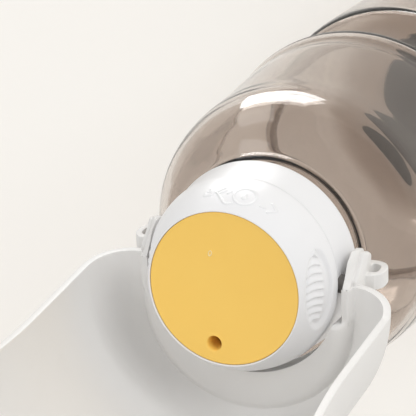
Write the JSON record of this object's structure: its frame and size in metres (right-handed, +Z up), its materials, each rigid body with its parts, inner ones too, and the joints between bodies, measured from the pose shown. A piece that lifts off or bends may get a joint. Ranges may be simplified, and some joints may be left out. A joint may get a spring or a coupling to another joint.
{
  "type": "dog travel water bottle",
  "caption": "Clear hourglass water bottle for dogs with a white screw collar, a turning ball-shaped valve head with a yellow face, and a fold-out half-round drinking bowl on two side ears.",
  "frame": {"origin": "middle of the base, on the surface the bottle stands on", "axes": "+Z up the bottle's axis, X along the bowl's hinge, +Y to the side where the opened bowl's floor is, -Y to the side with the turning marks"},
  "size_m": [0.0974, 0.117, 0.3534],
  "materials": {
    "clear_plastic": "clear, warm grey tint, polished",
    "white_plastic": "white, fine satin",
    "bowl_plastic": "off-white, soft satin",
    "face_yellow": "warm yellow, fine matt",
    "inner_plastic": "natural, matt",
    "silicone": "translucent white, matt",
    "seal_rubber": "black, matt",
    "pad_rubber": "dark grey, matt",
    "steel": "stainless, turned"
  },
  "bodies": {
    "bottle_body": {"bottle": "clear_plastic", "base_pad": "pad_rubber"},
    "gasket_body": {"neck_gasket": "silicone"},
    "collar_body": {"collar": "white_plastic", "valve_seat": "inner_plastic", "sheet_gasket": "silicone", "vent_valve": "silicone", "click_ring": "inner_plastic", "hinge_pin_l": "steel", "hinge_pin_r": "steel", "hinge_washer_l": "silicone", "hinge_washer_r": "silicone"},
    "head_body": {"head_shell": "white_plastic", "face_disc": "face_yellow", "rotor": "inner_plastic", "hub_seal": "seal_rubber", "hub_washer": "steel", "hub_screw": "steel", "outlet_tube": "inner_plastic", "outlet_seal": "seal_rubber", "vent_plug": "silicone"},
    "bowl_body": {"bowl": "bowl_plastic"}
  },
  "joints": [
    {"name": "cap_lift", "type": "slide", "parent": "bottle_body", "child": "gasket_body", "axis": [0, 0, 1], "range_m": [0, 0.0053]},
    {"name": "cap_turn", "type": "hinge", "parent": "gasket_body", "child": "collar_body", "pos_m": [0, 0, 0.172], "axis": [0, 0, 1], "range_deg": [0, 540]},
    {"name": "head_turn", "type": "hinge", "parent": "collar_body", "child": "head_body", "pos_m": [0, 0, 0.172], "axis": [0, 0, 1], "range_deg": [-80, 0]},
    {"name": "bowl_fold", "type": "hinge", "parent": "collar_body", "child": "bowl_body", "pos_m": [0, 0, 0.172], "axis": [1, 0, 0], "range_deg": [0, 187.85]}
  ],
  "couplings": [
    {"joint": "cap_lift", "follows": "cap_turn", "m_per_rad": 0.00055704}
  ]
}
